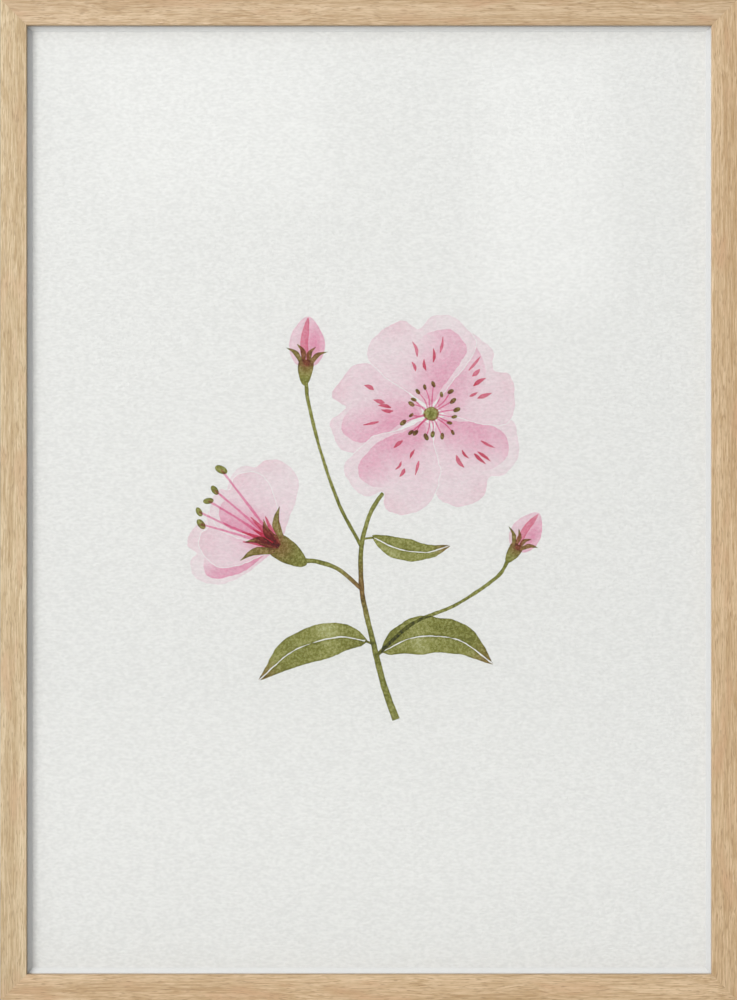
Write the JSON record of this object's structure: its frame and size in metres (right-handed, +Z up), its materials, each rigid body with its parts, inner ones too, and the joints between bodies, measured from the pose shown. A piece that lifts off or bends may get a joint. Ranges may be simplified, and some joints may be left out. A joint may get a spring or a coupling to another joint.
{
  "type": "framed art print",
  "caption": "Upright framed print behind glass in a slim mitred light oak frame with a white inner slip, hardboard back held by bent steel points and a sawtooth wall hanger.",
  "frame": {"origin": "on the wall plane, where the middle notch of the sawtooth hanger rests on the wall's nail", "axes": "+X to the right seen from the front, +Y from the picture's face back to the wall, +Z up along the frame's long side"},
  "size_m": [0.545, 0.0245, 0.74],
  "materials": {
    "oak": "light oak, matt lacquer, fine straight grain",
    "picture_glass": "clear polished glass",
    "white_slip": "white painted, satin",
    "print_paper": "textured white art paper with a watercolour print",
    "hardboard": "brown hardboard, smooth pressed face",
    "blued_steel": "dark blued spring steel",
    "zinc_steel": "zinc plated",
    "bumper_rubber": "soft grey rubber"
  },
  "bodies": {
    "root": {"rail_top": "oak", "rail_bottom": "oak", "rail_left": "oak", "rail_right": "oak", "glazing": "picture_glass", "slip_top": "white_slip", "slip_bottom": "white_slip", "slip_left": "white_slip", "slip_right": "white_slip", "print_sheet": "print_paper", "backing_board": "hardboard", "point_bottom_1": "blued_steel", "point_bottom_2": "blued_steel", "point_bottom_3": "blued_steel", "point_right_1": "blued_steel", "point_right_2": "blued_steel", "point_right_3": "blued_steel", "point_right_4": "blued_steel", "point_top_1": "blued_steel", "point_top_2": "blued_steel", "point_top_3": "blued_steel", "point_left_1": "blued_steel", "point_left_2": "blued_steel", "point_left_3": "blued_steel", "point_left_4": "blued_steel", "v_nail_bottom_left_outer": "blued_steel", "v_nail_bottom_left_inner": "blued_steel", "v_nail_bottom_right_outer": "blued_steel", "v_nail_bottom_right_inner": "blued_steel", "v_nail_top_right_outer": "blued_steel", "v_nail_top_right_inner": "blued_steel", "v_nail_top_left_outer": "blued_steel", "v_nail_top_left_inner": "blued_steel", "sawtooth_hanger": "zinc_steel", "hanger_nail_left": "zinc_steel", "hanger_nail_right": "zinc_steel", "bumper_left": "bumper_rubber", "bumper_right": "bumper_rubber"}
  },
  "joints": []
}
